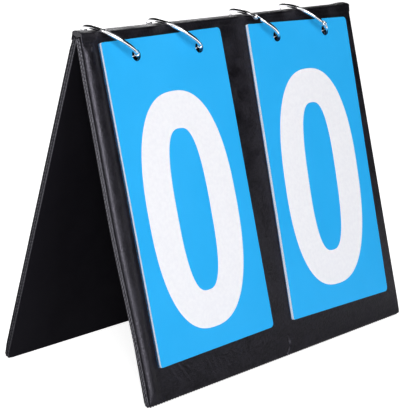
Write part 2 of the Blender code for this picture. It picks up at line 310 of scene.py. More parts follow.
def greyboard():
    """Pressed grey pulp: fibres as stretched noise in two greys, over a rough ground."""
    finish = Finish("pressed_greyboard", (0.3, 0.28, 0.25), 0.9)
    fibres = finish.noise(700.0, 4.0, stretch=(1, 0.35, 2.5))
    finish.shade(fibres, (0.24, 0.22, 0.19), (0.4, 0.37, 0.33))
    finish.bump(fibres, 0.1 * MM, 0.6)
    return finish.material


def binding_cord():
    """Binding cord of fine black threads: dark and light threads and a waxed sheen."""
    finish = Finish("black_binding_cord", (0.02, 0.02, 0.024), 0.38, specular=0.8, tint=(0.9, 0.88, 1.0))
    threads = finish.noise(1500.0)
    finish.shade(threads, (0.002, 0.002, 0.003), (0.024, 0.023, 0.028))
    finish.feed("Roughness", finish.span(finish.noise(400.0), 0.32, 0.46))
    finish.bump(threads, 0.1 * MM, 0.5)
    return finish.material


def near_holes(finish, reach):
    """1 close to any of the cards' punched holes, and 0 elsewhere."""
    found = 0.0
    for first, second, drop in HOLES.values():
        for x in (first, second):
            away = finish.measure("DISTANCE", finish.place, tuple(leaf(FRONT, x, HOLE_LEVEL, drop)))
            found = finish.maths("MAXIMUM", finish.maths("LESS_THAN", away, reach), found)
    return found


def card_stock():
    """Coated card: blue where the face looks out of the board or into it, and cut edges that are white on the
    upper cards, painted shade on the lowest ones and painted shade round the punched holes. The left pack
    has half a millimetre more of the painted shade."""
    finish = Finish("blue_coated_card", (0.03, 0.45, 0.93), 0.42, specular=0.15)
    outward = tuple(leaf(FRONT, 0, 1, 0) - leaf(FRONT, 0, 0, 0))
    facing = finish.maths("ABSOLUTE", finish.measure("DOT_PRODUCT", finish.normal, outward))
    flat = finish.maths("GREATER_THAN", facing, 0.8)
    ink_patches = finish.span(finish.noise(22.0, 4.0), 0, 1)
    ink = finish.between(ink_patches, (0.020, 0.425, 0.90), (0.026, 0.445, 0.93))
    on_left = finish.maths("LESS_THAN", finish.measure("DOT_PRODUCT", finish.place, (1, 0, 0)), 0.0)
    level = finish.measure("DOT_PRODUCT", finish.place, outward)
    level = finish.maths("SUBTRACT", level, finish.maths("MULTIPLY", on_left, LEFT_PAINTED_SHADE_EXTRA))
    inner_face = RIDGE * float(np.sin(HALF_ANGLE))
    upper = finish.span(level, 0, 1, inner_face + PAINTED_SHADE_TO_WHITE[0], inner_face + PAINTED_SHADE_TO_WHITE[1])
    # Painted shade: the lowest cards' cut edges are near black, for the shade they lie in; on the left pack it
    # reaches higher, under the padded roll
    edge = finish.between(upper, (0.03, 0.03, 0.036), (0.95, 0.95, 1.0))
    # Painted shade: the cut edges round the punched holes are near black, for the shade inside the holes under the
    # rings
    edge = finish.between(near_holes(finish, HOLE_PAINTED_SHADE_REACH), edge, (0.012, 0.012, 0.014))
    finish.feed("Base Color", finish.between(flat, edge, ink))
    finish.feed("Roughness", finish.span(finish.noise(160.0), 0.38, 0.46))
    finish.bump(finish.noise(900.0, 2.0), 0.01 * MM, 0.4)
    return finish.material


def number_ink():
    """White screen ink: nearly even, with a faint roller grain."""
    finish = Finish("white_number_ink", (0.88, 0.88, 0.93), 0.45, specular=0.15)
    grain = finish.noise(500.0)
    finish.shade(grain, (0.87, 0.87, 0.92), (0.91, 0.91, 0.95))
    finish.feed("Roughness", finish.span(grain, 0.4, 0.5))
    return finish.material


def plated_wire():
    """Nickel plate on drawn wire: bright, with a fine grain and a little tarnish."""
    finish = Finish("bright_nickel_plate", (0.86, 0.86, 0.88), 0.12, metallic=1.0)
    tarnish = finish.noise(500.0)
    finish.shade(tarnish, (0.8, 0.8, 0.82), (0.93, 0.93, 0.95))
    finish.feed("Roughness", finish.span(tarnish, 0.08, 0.18))
    finish.bump(finish.noise(1800.0, 2.0), 0.02 * MM, 0.4)
    return finish.material


def rivet_steel():
    """Turned steel: fine scratches and a soft gloss."""
    finish = Finish("turned_rivet_steel", (0.6, 0.61, 0.63), 0.3, metallic=1.0)
    scratches = finish.noise(3000.0, 2.0, stretch=(1, 0.2, 1))
    finish.shade(scratches, (0.5, 0.5, 0.52), (0.72, 0.72, 0.74))
    finish.feed("Roughness", finish.span(scratches, 0.22, 0.4))
    return finish.material


COVER_FINISH = leatherette("black_leatherette", (0.0105, 0.0095, 0.0135), 0.42)
SPINE_FINISH = leatherette("creased_spine_leatherette", (0.0105, 0.0095, 0.013), 0.38)
LINING_FINISH = lining_paper()
CORE_FINISH = greyboard()
BAND_FINISH = binding_cord()
CARD_FINISH = card_stock()
INK_FINISH = number_ink()
WIRE_FINISH = plated_wire()
RIVET_FINISH = rivet_steel()


# Boards

# The cover's edge, where it rolls under along the outline: how far in from the outline, and how deep
# the surface is there, on the face and under it
BORDER = np.array([(0.35, 4.14), (0.4, 4.26), (0.6, 4.38), (1.0, 4.46), (1.5, 4.49), (2.1, 4.5), (2.9, 4.5),
                   (3.8, 4.5), (4.8, 4.5), (6.0, 4.5), (7.2, 4.5), (8.4, 4.5)]) * MM
BORDER_UNDER = np.array([(0.45, 4.06), (0.9, 3.95), (1.5, 3.7), (2.3, 3.42)]) * MM
# The padded roll down the left side: how far in from the left edge, and how far it swells
ROLL = np.array([(0.35, 0.0), (0.6, 0.34), (1.0, 0.72), (1.5, 1.08), (2.1, 1.36), (2.9, 1.58), (3.8, 1.64),
                 (4.8, 1.5), (6.0, 1.08), (7.2, 0.46), (8.0, 0.1), (8.4, 0.0)]) * MM
# The cover's grid: its wide step, and the stretch with a step of its own, across each board and down it,
# as start, end and step in millimetres. The front's are close, for the creases
WIDE_STEP = 2.4 * MM
CLOSER = {FRONT: ((-106, 8, 0.7), (174, 193, 0.7)), REAR: ((-20, 20, 2.4), (90, 110, 2.4))}
# Creases pressed into the cover: start, end, half width and depth, in millimetres of width and drop
CREASES = ((-97, 178, -84, 194, 0.8, 0.22), (-94, 177, -82, 190, 0.7, 0.18), (-91, 178, -83, 187, 0.7, 0.16),
           (-102, 181, -90, 195, 0.9, 0.14), (-71, 184, -64, 197, 0.9, 0.14), (-66, 183, -62, 193, 0.8, 0.12),
           (-55, 186, -52, 196, 0.8, 0.14), (-60, 187, -57, 197, 0.8, 0.1), (104, 178, 113, 188, 1.0, 0.12),
           (-115, 12, -108, 30, 1.2, 0.12), (88, 186, 97, 193, 1.0, 0.12))
# The join in the cover's foot, as points of a bent line
SLIT = ((-1.0, 200.5), (2.2, 196.8), (4.3, 194.0), (3.6, 191.5), (2.6, 189.5))
# How far the front board's loose left edge swells out at most
LOOSE_EDGE = 3.0 * MM


def bulge(drop):
    """How far the front board's loose left edge swells out: most of it from the top to the middle,
    fading to nothing towards the foot."""
    return LOOSE_EDGE * (0.85 + 0.15 * smooth(drop, 0, 28 * MM)) * (1 - smooth(drop, 95 * MM, 185 * MM))


def rounded(x, drop, inset=0.0):
    """Square coordinates carried to the board's rounded outline: in each corner's square, the longer of
    the two reaches becomes the radius and their ratio the angle. Inset draws the outermost points in."""
    low = drop > BOARD_HEIGHT / 2
    aside = (np.abs(x) - (HALF_WIDTH - CORNER)) / CORNER
    down = np.where(low, drop - (BOARD_HEIGHT - CORNER), BOARD_TOP + CORNER - drop) / CORNER
    aside = np.where(aside > 0, aside * (1 - inset / CORNER), aside)
    down = np.where(down > 0, down * (1 - inset / CORNER), down)
    corner = (aside > 0) & (down > 0)
    reach = np.maximum(aside, down)
    longest = np.maximum(reach, 1e-9)
    turn = np.where(aside >= down, down / longest, 2 - aside / longest) * pi / 4
    aside = np.where(corner, reach * np.cos(turn), aside)
    down = np.where(corner, reach * np.sin(turn), down)
    new_x = np.sign(x) * (HALF_WIDTH - CORNER + CORNER * aside)
    new_drop = np.where(low, BOARD_HEIGHT - CORNER + CORNER * down, BOARD_TOP + CORNER - CORNER * down)
    return new_x, new_drop


def stations(start, end, closer):
    """Places along one side of the cover: the border's own at both ends, close ones where creases are,
    and wide ones between."""
    lip = BORDER[:, 0] - BORDER[0, 0]
    first, last = start + BORDER[0, 0], end - BORDER[0, 0]
    close_start, close_end, close_step = np.array(closer) * MM
    stretches = ((first + lip[-1], close_start, WIDE_STEP), (close_start, close_end, close_step),
                 (close_end, last - lip[-1], WIDE_STEP))
    parts = [first + lip]
    for here, there, step in stretches:
        count = max(2, int(round((there - here) / step)) + 1)
        parts.append(np.linspace(here, there, count)[1:])
    parts.append(last - lip[::-1][1:])
    return np.concatenate(parts)


def crease_depth(x, drop):
    """The sum of the creases. Each is a valley with a soft bell section across its line, that fades out
    at the line's ends, and a low ridge along one side of it."""
    total = np.zeros_like(x)
    for x0, drop0, x1, drop1, width, depth in CREASES:
        run = np.array([x1 - x0, drop1 - drop0]) * MM
        length = np.hypot(*run)
        away_x, away_drop = x - x0 * MM, drop - drop0 * MM
        along = (away_x * run[0] + away_drop * run[1]) / length ** 2
        across = (away_x * run[1] - away_drop * run[0]) / length
        across = across + 0.5 * MM * np.sin(along * 5 + x0)
        fade = smooth(along, -0.1, 0.35) * (1 - smooth(along, 0.6, 1.1))
        valley = bell(across, width * MM)
        ridge = bell(across - 1.7 * width * MM, width * MM)
        total += fade * depth * MM * (0.7 * ridge - valley)
    return total


def slit_depth(x, drop):
    """The join in the cover's foot: a sharp valley along a bent line, with a curled lip beside it."""
    nearest = np.full(x.shape, 1.0)
    side = np.zeros_like(x)
    for (x0, drop0), (x1, drop1) in zip(SLIT, SLIT[1:]):
        run = np.array([x1 - x0, drop1 - drop0]) * MM
        away_x, away_drop = x - x0 * MM, drop - drop0 * MM
        along = np.clip((away_x * run[0] + away_drop * run[1]) / (run @ run), 0, 1)
        away_x, away_drop = away_x - along * run[0], away_drop - along * run[1]
        away = np.hypot(away_x, away_drop)
        closer = away < nearest
        side = np.where(closer, np.sign(away_x), side)
        nearest = np.where(closer, away, nearest)
    valley = -0.75 * MM * bell(nearest, 0.45 * MM)
    lip = 0.35 * MM * bell(nearest - 1.1 * MM, 0.6 * MM)
    return valley + lip * (0.5 + 0.5 * side)


def cover_depth(side, x, drop):
    """How deep the cover's face is: the border's edge, the roll down the left side, a slight droop and
    slow waves along the foot, and on the front board the creases and the slit."""
    inset = np.minimum.reduce([HALF_WIDTH - np.abs(x), drop - BOARD_TOP, BOARD_HEIGHT - drop])
    above_foot = BOARD_HEIGHT - drop
    roll = np.interp(x + HALF_WIDTH, ROLL[:, 0], ROLL[:, 1]) * smooth(drop, 3.6 * MM, 9 * MM)
    droop = 0.3 * MM * (1 - smooth(above_foot, -2 * MM, 10 * MM))
    depth = np.interp(inset, BORDER[:, 0], BORDER[:, 1]) + roll * smooth(above_foot, 0, 7 * MM) - droop
    slack = waves(x + 0.3 * drop, (61 * MM, 37 * MM, 23 * MM), (0.4, 2.1, 4.0))
    slack = slack * waves(drop, (83 * MM, 41 * MM), (1.0, 2.6))
    foot = smooth(inset, 1 * MM, 5 * MM) * smooth(drop, 178 * MM, 186 * MM)
    depth = depth + 0.12 * MM * slack * foot
    if side == FRONT:
        depth = depth + crease_depth(x, drop) * smooth(inset, 1 * MM, 3 * MM)
        depth = depth + slit_depth(x, drop)
    return depth


def cover_shell(side):
    """A board's padded cover: a face on a grid, an edge that rolls under along the outline in a few
    loops, and a flat back within the last loop."""
    across, down = CLOSER[side]
    x, drop = np.meshgrid(stations(-HALF_WIDTH, HALF_WIDTH, across), stations(BOARD_TOP, BOARD_HEIGHT, down))
    face = (*rounded(x, drop), cover_depth(side, x, drop), x + HALF_WIDTH)
    sheets = [[part.ravel() for part in face]]
    grid = np.arange(x.size).reshape(x.shape)
    rim = np.concatenate([grid[0], grid[1:-1, -1], grid[-1, ::-1], grid[-2:0:-1, 0]])
    rim_x, rim_drop = x.ravel()[rim], drop.ravel()[rim]
    for under_inset, under_depth in BORDER_UNDER:
        under_x, under_drop = rounded(rim_x, rim_drop, under_inset - BORDER[0, 0])
        from_left = np.where(rim_x < 0, under_inset, HALF_WIDTH)
        sheets.append([under_x, under_drop, np.full(len(rim), under_depth), from_left])
    plan_x, plan_drop, depth, from_left = (np.concatenate(part) for part in zip(*sheets))
    if side == FRONT:
        plan_x = plan_x - bulge(plan_drop) * (1 - smooth(from_left, 0.5 * MM, 7.5 * MM))
    faces = quads(*x.shape)
    loops = [rim]
    for level in range(len(BORDER_UNDER)):
        loops.append(np.arange(len(rim)) + x.size + level * len(rim))
    for above, below in zip(loops, loops[1:]):
        corners = np.stack([above, np.roll(above, -1), np.roll(below, -1), below], axis=-1)
        faces += corners.tolist()
    faces.append(loops[-1].tolist())
    return leaf(side, plan_x, depth, plan_drop), faces


def punched(piece, side):
    """The ring holes cut through a cover, as round bars along the board's normal, and the cut applied."""
    right, lower = BOARD_HOLE_PLACE[side]
    turn = np.linspace(0, 2 * pi, 41)[:-1]
    shells = []
    for first, second, drop in HOLES.values():
        for x in (first, second):
            round_x = x + right + BOARD_HOLE_RADIUS * np.cos(turn)
            round_drop = drop + lower + BOARD_HOLE_RADIUS * np.sin(turn)
            ends = [leaf(side, round_x, depth, round_drop) for depth in (2 * MM, 6 * MM)]
            shells.append(tube(np.stack(ends)))
    bars = make("hole_bars", shells, COVER_FINISH)
    cut = piece.modifiers.new("holes", "BOOLEAN")
    cut.operation = "DIFFERENCE"
    cut.solver = "EXACT"
    cut.object = bars
    graph = bpy.context.evaluated_depsgraph_get()
    mesh = bpy.data.meshes.new_from_object(piece.evaluated_get(graph))
    piece.modifiers.clear()
    piece.data = mesh
    bpy.data.objects.remove(bars)
    soften(mesh)
    return piece


def outline_path(spacing):
    """The board's outline from its upper left corner down, under the foot and up the right side, which
    mirrors the left one: the places, and the direction that points out of the board at each."""
    top = 1.0 * MM
    straight = int((BOARD_HEIGHT - CORNER - top) / spacing)
    bend = int(pi / 2 * CORNER / spacing)
    base = int((2 * HALF_WIDTH - 2 * CORNER) / spacing)
    turn = np.linspace(pi, pi / 2, bend)[1:-1]
    side_x = np.concatenate([np.full(straight, -HALF_WIDTH), -HALF_WIDTH + CORNER * (1 + np.cos(turn))])
    side_drop = np.concatenate([np.linspace(top, BOARD_HEIGHT - CORNER, straight),
                                BOARD_HEIGHT - CORNER * (1 - np.sin(turn))])
    side_away_x = np.concatenate([np.full(straight, -1.0), np.cos(turn)])
    side_away_drop = np.concatenate([np.zeros(straight), np.sin(turn)])
    foot_x = np.linspace(-HALF_WIDTH + CORNER, HALF_WIDTH - CORNER, base)
    x = np.concatenate([side_x, foot_x, -side_x[::-1]])
    drop = np.concatenate([side_drop, np.full(base, BOARD_HEIGHT), side_drop[::-1]])
    away_x = np.concatenate([side_away_x, np.zeros(base), -side_away_x[::-1]])
    away_drop = np.concatenate([side_away_drop, np.ones(base), side_away_drop[::-1]])
    return x, drop, away_x, away_drop


def cord_band(side):
    """The bound edge: two cords side by side in one strip that follows the outline. Its section is two
    rounded lobes, from sine arches, with a valley between them, and a flat back. The twist is a groove
    that runs slantwise over the lobes, once for each pitch along the path."""
    valley_share, pitch, steps = 0.56, 2.2 * MM, 17
    x, drop, away_x, away_drop = outline_path(0.26 * MM)
    travel = travelled(x, drop)[:, None]
    share = np.linspace(0, 1, steps)[None, :]
    arch = np.where(share < valley_share, share / valley_share, (share - valley_share) / (1 - valley_share))
    lobes = np.abs(np.sin(pi * arch)) ** 0.75
    valley = 0.45 * bell(share - valley_share, 0.07)
    strand = (travel / pitch + 1.3 * share) % 1 - 0.5
    out = (-0.6 + 1.05 * lobes - valley - 1.2 * smooth(share, 0.88, 1)) * MM
    out = out - 0.42 * MM * bell(strand, 0.2) * lobes * smooth(share, 0.05, 0.2)
    depth = (0.3 + 2.9 * share + 0 * travel) * MM
    back = np.array([(-1.8, 3.4), (-1.8, 3.1), (-1.8, 1.0), (-1.2, 0.6), (-0.9, 0.4)]) * MM
    out = np.concatenate([out, np.tile(back[:, 0], (len(x), 1))], axis=1)
    depth = np.concatenate([depth, np.tile(back[:, 1], (len(x), 1))], axis=1)
    plan_x = x[:, None] + out * away_x[:, None]
    plan_drop = drop[:, None] + out * away_drop[:, None]
    if side == FRONT:
        loose = np.concatenate([np.ones(steps), [0.6, 0, 0, 0.9, 1]])[None, :]
        plan_x = plan_x - np.where(x[:, None] < 0, bulge(drop)[:, None] * loose, 0)
    return tube(leaf(side, plan_x, depth, plan_drop))


# The spine's lines over the rear half, in millimetres. Over the board's face and at the lip under it
# they are drop and depth, and on top and in the hollow they are reach from the ridge line and height
SPINE_OVER = ((3.3, 4.54), (2.6, 4.7), (1.6, 4.78), (0.6, 4.78))
SPINE_TOP = ((4.72, 1.7), (4.4, 2.12), (3.7, 2.42), (2.6, 2.66), (1.3, 2.8), (0.0, 2.84))
SPINE_HOLLOW = ((0.0, -0.1), (1.6, 0.28), (3.2, 0.72), (4.1, 0.97))
SPINE_LIP = ((0.4, 4.52), (3.2, 4.52))
SPINE_STATIONS = 420
WRINKLE_HEIGHT = 0.06 * MM
FLARE_HEIGHT = 0.7 * MM
FLARE_LENGTH = 12 * MM


def spine_section():
    """The strip's section: the outer line from the front face over the ridge to the rear face, at even
    steps and smoothed once, and the inner line back beneath it. Both are given in metres."""
    half = np.array([lean(depth, drop) for drop, depth in SPINE_OVER] + list(SPINE_TOP))
    outer = np.concatenate([half * (-1, 1), half[:-1][::-1]])
    reach = travelled(*outer.T)
    even = np.linspace(0, reach[-1], 45)
    outer = np.stack([np.interp(even, reach, line) for line in outer.T], axis=-1)
    outer[1:-1] = 0.25 * outer[:-2] + 0.5 * outer[1:-1] + 0.25 * outer[2:]
    hollow = np.array(list(SPINE_HOLLOW) + [lean(depth, drop) for drop, depth in SPINE_LIP])
    inner = np.concatenate([hollow[::-1], hollow[1:] * (-1, 1)])
    return outer * MM, inner * MM


def spine_shell():
    """The strip over both boards' upper ends: its section carried along the ridge, drawn in a little at
    the very ends, with small wrinkles on top. Both ends flare up, and the left end of its front half
    follows the front board's loose edge out."""
    outer, inner = spine_section()
    section = np.concatenate([outer, inner])
    ends = np.array([0, 0.06, 0.14, 0.25]) * MM
    body = np.linspace(0.8 * MM, 2 * HALF_WIDTH - 0.8 * MM, SPINE_STATIONS)
    inward = np.concatenate([ends, body, 2 * HALF_WIDTH - ends[::-1]])
    from_end = np.minimum(inward, 2 * HALF_WIDTH - inward)
    shrink = 1 - 0.03 * (1 - np.clip(from_end / ends[-1], 0, 1)) ** 2
    middle = np.array([0, 0.6 * MM])
    spread = middle + (section[None] - middle) * shrink[:, None, None]
    x = (inward - HALF_WIDTH)[:, None]
    across = section[:, 0][None, :]
    outside = np.concatenate([np.ones(len(outer)), np.zeros(len(inner))])
    on_top = (outside * smooth(section[:, 1], 0.2 * MM, 1.6 * MM))[None, :]
    wrinkle = waves(x + 1.7 * across, (7.3 * MM, 4.1 * MM, 11.9 * MM), (0.2, 1.3, 2.9))
    wrinkle = wrinkle + 0.6 * waves(x - 0.9 * across, (3.1 * MM, 5.3 * MM), (2.2, 0.7))
    flare = FLARE_HEIGHT * smooth(np.abs(x), HALF_WIDTH - FLARE_LENGTH, HALF_WIDTH)
    y = spread[:, :, 0]
    z = spread[:, :, 1] + on_top * (WRINKLE_HEIGHT * wrinkle + flare)
    front_share = smooth(-y, -4 * MM, 4 * MM)
    x = x - bulge(0.0) * front_share * (1 - smooth(x + HALF_WIDTH, 0, 8 * MM))
    return tube(np.stack([x, y, RIDGE + z], axis=-1))


# Cards

# The printed numbers, in millimetres from a card's upper left corner. The 0 has a centre and a lean on
# each pack, and its outer and inner ovals a half width, a half height and a power
NOUGHTS = {"left": ((48.06, 98.0), 0.0), "right": ((48.38, 96.25), -0.017)}
NOUGHT_OVALS = ((36.7, 66.55, 2.44), (13.9, 45.7, 2.77))
ONE_OUTLINE = ((40, 31), (60, 31), (60, 163.5), (39, 163.5), (39, 60), (24, 68), (24, 50))
# A print's back and front, out from the card's face
PRINT_BACK = 0.002 * MM
PRINT_FRONT = 0.022 * MM


def card_point(pack, place, depth):
    """A point of a card by its reach to the right and down from the card's upper left corner."""
    left, top, tilt = PACKS[pack]
    right, down = place.T
    return leaf(FRONT, left + right * np.cos(tilt) + down * np.sin(tilt), depth,
                top - right * np.sin(tilt) + down * np.cos(tilt))


def oval(centre, half_width, half_height, power):
    """A squared oval: each coordinate is the half size times the cosine or sine, to the power 2 / n."""
    turn = np.linspace(0, 2 * pi, 161)[:-1]
    right = np.sign(np.cos(turn)) * np.abs(np.cos(turn)) ** (2 / power)
    down = np.sign(np.sin(turn)) * np.abs(np.sin(turn)) ** (2 / power)
    return np.stack([centre[0] + half_width * right, centre[1] + half_height * down], axis=-1) * MM


def nought(pack, face):
    """The number 0: a squared oval ring, which leans a degree on the right pack. It is one closed ring
    of four loops: the back and front of the outer oval, and the front and back of the inner one."""
    centre, lean_share = NOUGHTS[pack]
    outer, inner = [oval(centre, *sizes) for sizes in NOUGHT_OVALS]
    for loop in (outer, inner):
        loop[:, 0] += lean_share * (loop[:, 1] - centre[1] * MM)
    loops = [card_point(pack, loop, face + lift) for loop, lift in
             ((outer, PRINT_BACK), (outer, PRINT_FRONT), (inner, PRINT_FRONT), (inner, PRINT_BACK))]
    return tube(np.stack(loops), along=True)


def one(pack, face):
    """The number 1: an upright with a slanted flag at its top, as one outline."""
    outline = np.array(ONE_OUTLINE) * MM
    return tube(np.stack([card_point(pack, outline, face + lift) for lift in (PRINT_BACK, PRINT_FRONT)]))


# Rings

RING_RADIUS = 16 * MM
WIRE_RADIUS = 1.15 * MM
EYE_RADIUS = 1.8 * MM
EYE_SHIFT = 0.55 * MM
NECK_HALF = 0.35 * MM
NECK_START = 2.2 * MM
NECK_END = 4.2 * MM
# Where a half's round wire ends, before the end of its half turn
SOCKET_START = 4.0 * MM
PIN_START = 0.55 * MM
# Each ring's knuckle, as an angle from the foot, and the way that its gate half turns
KNUCKLES = {1: (radians(228), -1), 2: (radians(228), -1), 3: (radians(132), 1), 4: (radians(76), 1)}
# The two ends that snap together, as reach past the half turn and radius: a socket with an open bore,
# and a rounded end with a ball-headed pin
SOCKET_TIP = np.array([(-3.6, 1.2), (-3.3, 1.36), (-3.0, 1.45), (-0.3, 1.45), (-0.1, 1.4), (0, 1.25),
                       (0, 0.95), (-0.12, 0.82), (-0.3, 0.8), (-2.5, 0.8), (-2.6, 0.6), (-2.6, 0.02)]) * MM
PIN_TIP = np.array([(-0.4, 1.08), (-0.32, 0.9), (-0.3, 0.6), (-0.3, 0.4), (1.2, 0.4), (1.3, 0.48),
                    (1.5, 0.55), (1.75, 0.53), (1.95, 0.42), (2.07, 0.24), (2.1, 0.02)]) * MM
# The eye's section, outside the rivet hole: reach from the rivet's axis and shift along it
EYE_SECTION = np.array([(0.72, -0.36), (0.78, -0.4), (1.62, -0.4), (1.75, -0.33), (1.8, -0.2), (1.8, 0.2),
                        (1.75, 0.33), (1.62, 0.4), (0.78, 0.4), (0.72, 0.36)]) * MM


class SnapRing:
    """One ring's place and axes, taken from its joints: out of the ring's plane, along its chord and up
    from its foot. A point is given by its angle from the foot, its reach out and its shift aside."""

    def __init__(self, number):
        stand = JOINTS[f"ring_{number}_stand_up"]
        gate = JOINTS[f"ring_{number}_gate_open"]
        self.knuckle, self.gate_turn = KNUCKLES[number]
        self.place = np.array(stand["pos_m"])
        self.chord = np.array(stand["axis"]) / np.linalg.norm(stand["axis"])
        aside = np.array(gate["axis"]) * -self.gate_turn
        aside = aside - self.chord * (aside @ self.chord)
        self.aside = aside / np.linalg.norm(aside)
        self.up = np.cross(self.aside, self.chord)
        knuckle_height = (np.array(gate["pos_m"]) - self.place) @ self.up
        self.rise = knuckle_height + RING_RADIUS * cos(self.knuckle)

    def point(self, angle, outward, shift):
        """The ring's centre, plus its radius and outward reach turned by the angle, plus the shift."""
        reach = RING_RADIUS + outward
        along = (-reach * np.sin(angle))[..., None]
        height = (self.rise - reach * np.cos(angle))[..., None]
        return self.place + shift[..., None] * self.aside + along * self.chord + height * self.up


def wire_half(ring, socket):
    """Half a ring as one tube: a flattened neck that swells to round wire, then the socket or the pin.
    Each station has a reach along the wire, two half sizes and a shift aside."""
    eye_side = 1 if socket else -1
    turn_way = -ring.gate_turn * eye_side
    length = pi * RING_RADIUS
    tip, tip_start = (SOCKET_TIP, SOCKET_START) if socket else (PIN_TIP, PIN_START)
    neck = np.linspace(NECK_START, NECK_END, 10)
    wire = np.linspace(NECK_END, length - tip_start, 96)[1:]
    reach = np.concatenate([[EYE_RADIUS / 2], neck, wire])
    swell = smooth(reach, NECK_START, NECK_END)
    wide = np.concatenate([np.full(len(reach), WIRE_RADIUS), tip[:, 1]])[:, None]
    thick = np.concatenate([NECK_HALF + (WIRE_RADIUS - NECK_HALF) * swell, tip[:, 1]])[:, None]
    shift = np.concatenate([eye_side * EYE_SHIFT * (1 - swell), np.zeros(len(tip))])[:, None]
    reach = np.concatenate([reach, length + tip[:, 0]])[:, None]
    around = np.linspace(0, 2 * pi, 29)[None, :-1]
    angle = ring.knuckle + turn_way * reach / RING_RADIUS + 0 * around
    return tube(ring.point(angle, wide * np.cos(around), shift + thick * np.sin(around)))


def eye(ring, eye_side):
    """The flat eye at the knuckle: a rounded oblong section, outside the rivet hole, turned full circle."""
    turn = np.linspace(0, 2 * pi, 49)[:-1, None]
    reach, shift = EYE_SECTION.T
    angle = np.full((len(turn), len(reach)), ring.knuckle)
    centre = ring.point(angle, np.zeros_like(angle), eye_side * EYE_SHIFT + shift[None, :] + 0 * turn)
    outward = -sin(ring.knuckle) * ring.chord - cos(ring.knuckle) * ring.up
    onward = np.cross(ring.aside, outward)
    spoke = np.cos(turn)[..., None] * outward + np.sin(turn)[..., None] * onward
    return tube(centre + reach[None, :, None] * spoke, along=True)


# Everything is put together here


def dress(names, finish):
    """The CAD nodes that stay as they are get their finish."""
    for name in names:
        materials = frame["nodes"][name].data.materials
        materials.clear()
        materials.append(finish)


for side, name in ((FRONT, "front"), (REAR, "rear")):
    cover = punched(make(f"{name}_cover_skin", [cover_shell(side)], COVER_FINISH), side)
    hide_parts(f"{name}_cover")
    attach(cover, f"{name}_stand")
    band = make(f"{name}_cord_binding", [cord_band(side)], BAND_FINISH)
    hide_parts(f"{name}_edge_band")
    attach(band, f"{name}_stand")
    dress([f"{name}_lining"], LINING_FINISH)
    dress([f"{name}_core"], CORE_FINISH)

spine = make("spine_wrap", [spine_shell()], SPINE_FINISH)
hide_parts("front_spine", "rear_spine")
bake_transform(spine)

for pack in PACKS:
    dress([f"{pack}_card_{number}" for number in range(10)], CARD_FINISH)
    top_print = make(f"{pack}_number_0", [nought(pack, CARD_FACE)], INK_FINISH)
    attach(top_print, f"{pack}_front_card")
    next_print = make(f"{pack}_number_1", [one(pack, CARD_FACE - CARD_PITCH)], INK_FINISH)
    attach(next_print, "front_stand")

for number in KNUCKLES:
    ring = SnapRing(number)
    fixed = make(f"ring_{number}_fixed_wire", [wire_half(ring, True), eye(ring, 1)], WIRE_FINISH)
    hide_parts(f"ring_{number}_fixed_half")
    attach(fixed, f"ring_{number}")
    gate = make(f"ring_{number}_gate_wire", [wire_half(ring, False), eye(ring, -1)], WIRE_FINISH)
    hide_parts(f"ring_{number}_gate_half")
    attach(gate, f"ring_{number}_gate")
    dress([f"ring_{number}_rivet"], RIVET_FINISH)


# Stage, light and camera

AIM = (0, 0, 0.1)
WORLD_LIGHT = 0.19
FLOOR_REACH = 6.0
FLOOR_COLOUR = (0.86, 0.86, 0.86, 1)
FLOOR_GLOW = 0.82
FLOOR_GAP = 0.2 * MM

# Each softbox's place, size and power, and the kind of ray that doesn't see it, if any
SOFTBOXES = (
    ("key_softbox", (-1.18, -0.94, 1.41), (0.5, 0.5), 13.3, "glossy"),
    ("front_softbox", (-0.42, -1.75, 0.47), (0.7, 0.8), 10.3, None),
    ("left_softbox", (-1.35, -1.2, 0.42), (0.4, 0.6), 6.2, None),
    ("side_softbox", (-1.8, -0.2, 0.45), (0.4, 0.7), 3, None),
    ("rim_softbox", (1.25, 1.15, 0.95), (0.3, 0.7), 2.2, None),
    ("top_softbox", (0.2, 0.3, 1.8), (1.2, 1.2), 4.5, "glossy"),
    ("edge_sheen_softbox", (-1.05, -1.4, 0.45), (0.5, 0.5), 18, "diffuse"),
)

# Dark curved cards that only reflections see, as a photographer sets beside bright metal: each one's
# radius, its two bearings and its two angles above the level
WALL_SHADE = 0.015
DARK_WALLS = (
    ("right_wall", 0.9, (-89, 25), (-6, 56)),
    ("front_low_wall", 0.95, (-178, -89), (-6, 9)),
    ("left_rear_wall", 2.2, (95, 178), (2, 60)),
    ("rear_wall", 2.2, (25, 95), (6, 60)),
    ("crown", 2.3, (-60, 200), (55, 90)),
)
CONTACT_SHADE = 0.28
CONTACT_REACH = 0.2

# The photograph's camera: its place, its bearing from +Y, its tilt down and its roll
CAMERA_PLACE = Vector((-683.97, -572.22, 302.01)) * MM
CAMERA_BEARING = radians(49.57)
CAMERA_TILT = radians(13.862)
CAMERA_ROLL = radians(1.878)
CAMERA_LENS = 134.54


def plain_sight(nodes, links, *others):
    """1 for the camera's rays and the other kinds that are named, and 0 for the light on the object."""
    rays = nodes.new("ShaderNodeLightPath")
    seen = rays.outputs["Is Camera Ray"]
    for ray in others:
        either = nodes.new("ShaderNodeMath")
        either.operation = "MAXIMUM"
        links.new(seen, either.inputs[0])
        links.new(rays.outputs[ray], either.inputs[1])
        seen = either.outputs[0]
    return seen


def make_world():
    """White to the camera and in reflections, and a plain grey light on everything else."""
    world = bpy.data.worlds.new("studio_white")
    world.use_nodes = True
    bpy.context.scene.world = world
    nodes, links = world.node_tree.nodes, world.node_tree.links
    background = nodes["Background"]
    level = nodes.new("ShaderNodeMapRange")
    level.inputs["To Min"].default_value = WORLD_LIGHT
    level.inputs["To Max"].default_value = 1.0
    seen = plain_sight(nodes, links, "Is Glossy Ray", "Is Transmission Ray")
    links.new(seen, level.inputs["Value"])
    links.new(level.outputs["Result"], background.inputs["Strength"])
    background.inputs["Color"].default_value = (1, 1, 1, 1)


